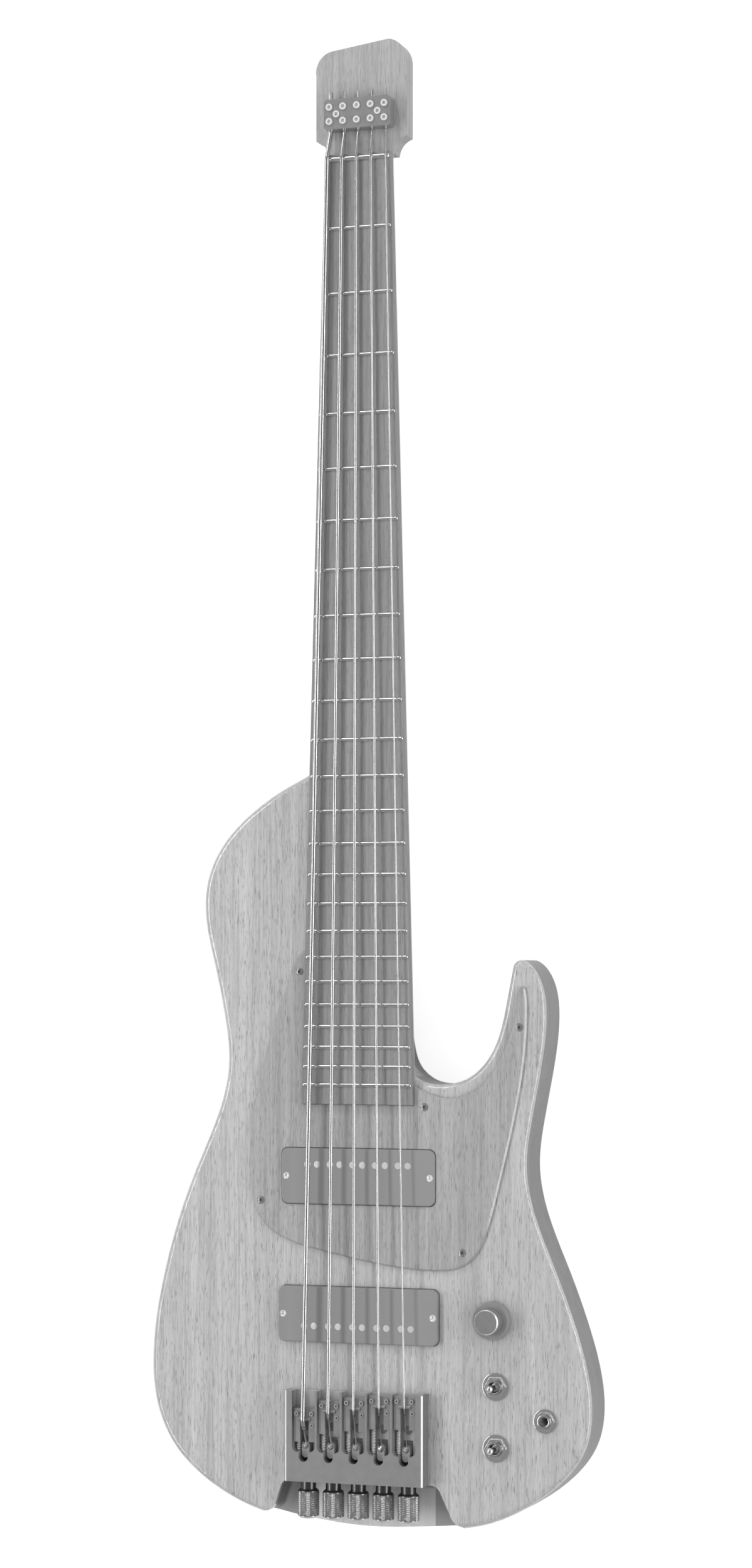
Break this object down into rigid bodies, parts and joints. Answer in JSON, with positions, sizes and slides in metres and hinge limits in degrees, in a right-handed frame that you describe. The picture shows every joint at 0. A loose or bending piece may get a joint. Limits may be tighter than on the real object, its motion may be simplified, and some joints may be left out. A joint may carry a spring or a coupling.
{
  "type": "electric bass guitar",
  "caption": "Headless long-scale electric bass with a single cutaway, pickups under a guard, a recessed bridge with screw tuners at the tail, a stacked knob, toggles and a top jack",
  "frame": {"origin": "on the back of the body, on the neck's centre line, under the point where the scale ends at the bridge", "axes": "+X to the treble side, +Y along the neck to the headstock, +Z out of the front; the instrument lies on its back"},
  "size_m": [0.3253, 1.0437, 0.0569],
  "materials": {
    "body_wood": "open-pored wood under a thin satin finish",
    "neck_wood": "satin",
    "board_wood": "dark wood, oiled",
    "bright_steel": "bright, polished",
    "steel": "plain steel",
    "black_metal": "black satin coating",
    "plain_brass": "bright plated",
    "guard_wood": "darker open-pored wood, satin",
    "cover_plastic": "matte sheet",
    "pickup_plastic": "matte cover",
    "control_black": "matte black",
    "switch_case": "dull case",
    "wire_jacket": "insulated wire"
  },
  "bodies": {
    "instrument": {"body": "body_wood", "neck": "neck_wood", "fretboard": "board_wood", "frets": "bright_steel", "truss_rod": "steel", "string_clamp": "black_metal", "clamp_set_screws": "steel", "clamp_bolts": "steel", "neck_bolts": "steel", "neck_ferrules": "black_metal", "pickguard": "guard_wood", "pickguard_screws": "steel", "neck_pickup": "pickup_plastic", "bridge_pickup": "pickup_plastic", "pole_pieces": "bright_steel", "pickup_screws": "steel", "bridge_base": "black_metal", "bridge_screws": "steel", "control_cover": "cover_plastic", "control_cover_screws": "steel", "concentric_pot": "switch_case", "toggle_housings": "switch_case", "panel_nuts": "bright_steel", "panel_washers": "bright_steel", "jack_socket": "bright_steel", "strap_cups": "black_metal", "intonation_screws": "bright_steel", "intonation_springs": "bright_steel", "wiring": "wire_jacket", "string_b": "bright_steel", "string_e": "bright_steel", "string_a": "bright_steel", "string_d": "bright_steel", "string_g": "bright_steel"},
    "tuner_b": {"tuner_knob_b": "black_metal"},
    "carriage_body_b": {"carriage_b": "plain_brass"},
    "saddle_body_b": {"saddle_b": "black_metal", "saddle_screws_b": "steel"},
    "tuner_e": {"tuner_knob_e": "black_metal"},
    "carriage_body_e": {"carriage_e": "plain_brass"},
    "saddle_body_e": {"saddle_e": "black_metal", "saddle_screws_e": "steel"},
    "tuner_a": {"tuner_knob_a": "black_metal"},
    "carriage_body_a": {"carriage_a": "plain_brass"},
    "saddle_body_a": {"saddle_a": "black_metal", "saddle_screws_a": "steel"},
    "tuner_d": {"tuner_knob_d": "black_metal"},
    "carriage_body_d": {"carriage_d": "plain_brass"},
    "saddle_body_d": {"saddle_d": "black_metal", "saddle_screws_d": "steel"},
    "tuner_g": {"tuner_knob_g": "black_metal"},
    "carriage_body_g": {"carriage_g": "plain_brass"},
    "saddle_body_g": {"saddle_g": "black_metal", "saddle_screws_g": "steel"},
    "tone_ring_body": {"tone_ring": "control_black"},
    "volume_knob_body": {"volume_knob": "control_black"},
    "toggle_1": {"toggle_lever_1": "bright_steel"},
    "toggle_2": {"toggle_lever_2": "bright_steel"}
  },
  "joints": [
    {"name": "tuner_turn_b", "type": "hinge", "parent": "instrument", "child": "tuner_b", "pos_m": [-0.03704, -0.0756, 0.0403], "axis": [0, 1, 0], "range_deg": [-1080, 5760]},
    {"name": "carriage_draw_b", "type": "slide", "parent": "instrument", "child": "carriage_body_b", "axis": [0, -1, 0], "range_m": [-0.00155, 0.00812], "deforming": ["string_b"]},
    {"name": "intonation_b", "type": "slide", "parent": "instrument", "child": "saddle_body_b", "axis": [0, 1, 0], "range_m": [-0.002, 0.003], "deforming": ["intonation_springs", "string_b"]},
    {"name": "tuner_turn_e", "type": "hinge", "parent": "instrument", "child": "tuner_e", "pos_m": [-0.01852, -0.0756, 0.0403], "axis": [0, 1, 0], "range_deg": [-1080, 5760]},
    {"name": "carriage_draw_e", "type": "slide", "parent": "instrument", "child": "carriage_body_e", "axis": [0, -1, 0], "range_m": [-0.00155, 0.00812], "deforming": ["string_e"]},
    {"name": "intonation_e", "type": "slide", "parent": "instrument", "child": "saddle_body_e", "axis": [0, 1, 0], "range_m": [-0.003, 0.0025], "deforming": ["intonation_springs", "string_e"]},
    {"name": "tuner_turn_a", "type": "hinge", "parent": "instrument", "child": "tuner_a", "pos_m": [0, -0.0756, 0.0403], "axis": [0, 1, 0], "range_deg": [-1080, 5760]},
    {"name": "carriage_draw_a", "type": "slide", "parent": "instrument", "child": "carriage_body_a", "axis": [0, -1, 0], "range_m": [-0.00155, 0.00812], "deforming": ["string_a"]},
    {"name": "intonation_a", "type": "slide", "parent": "instrument", "child": "saddle_body_a", "axis": [0, 1, 0], "range_m": [-0.003, 0.0025], "deforming": ["intonation_springs", "string_a"]},
    {"name": "tuner_turn_d", "type": "hinge", "parent": "instrument", "child": "tuner_d", "pos_m": [0.01852, -0.0756, 0.0403], "axis": [0, 1, 0], "range_deg": [-1080, 5760]},
    {"name": "carriage_draw_d", "type": "slide", "parent": "instrument", "child": "carriage_body_d", "axis": [0, -1, 0], "range_m": [-0.00155, 0.00812], "deforming": ["string_d"]},
    {"name": "intonation_d", "type": "slide", "parent": "instrument", "child": "saddle_body_d", "axis": [0, 1, 0], "range_m": [-0.003, 0.0025], "deforming": ["intonation_springs", "string_d"]},
    {"name": "tuner_turn_g", "type": "hinge", "parent": "instrument", "child": "tuner_g", "pos_m": [0.03704, -0.0756, 0.0403], "axis": [0, 1, 0], "range_deg": [-1080, 5760]},
    {"name": "carriage_draw_g", "type": "slide", "parent": "instrument", "child": "carriage_body_g", "axis": [0, -1, 0], "range_m": [-0.00155, 0.00812], "deforming": ["string_g"]},
    {"name": "intonation_g", "type": "slide", "parent": "instrument", "child": "saddle_body_g", "axis": [0, 1, 0], "range_m": [-0.003, 0.0025], "deforming": ["intonation_springs", "string_g"]},
    {"name": "tone_ring_turn", "type": "hinge", "parent": "instrument", "child": "tone_ring_body", "pos_m": [0.09756, 0.05426, 0.0485], "axis": [0, 0, -1], "range_deg": [-210, 90]},
    {"name": "volume_knob_turn", "type": "hinge", "parent": "instrument", "child": "volume_knob_body", "pos_m": [0.09756, 0.05426, 0.0485], "axis": [0, 0, -1], "range_deg": [-210, 90]},
    {"name": "toggle_throw_1", "type": "hinge", "parent": "instrument", "child": "toggle_1", "pos_m": [0.10016, 0.00851, 0.04], "axis": [1, 0, 0], "range_deg": [-12, 12]},
    {"name": "toggle_throw_2", "type": "hinge", "parent": "instrument", "child": "toggle_2", "pos_m": [0.10049, -0.03405, 0.04], "axis": [1, 0, 0], "range_deg": [-12, 12]}
  ],
  "couplings": [
    {"joint": "carriage_draw_b", "follows": "tuner_turn_b", "m_per_rad": 0.000079577},
    {"joint": "carriage_draw_e", "follows": "tuner_turn_e", "m_per_rad": 0.000079577},
    {"joint": "carriage_draw_a", "follows": "tuner_turn_a", "m_per_rad": 0.000079577},
    {"joint": "carriage_draw_d", "follows": "tuner_turn_d", "m_per_rad": 0.000079577},
    {"joint": "carriage_draw_g", "follows": "tuner_turn_g", "m_per_rad": 0.000079577}
  ]
}
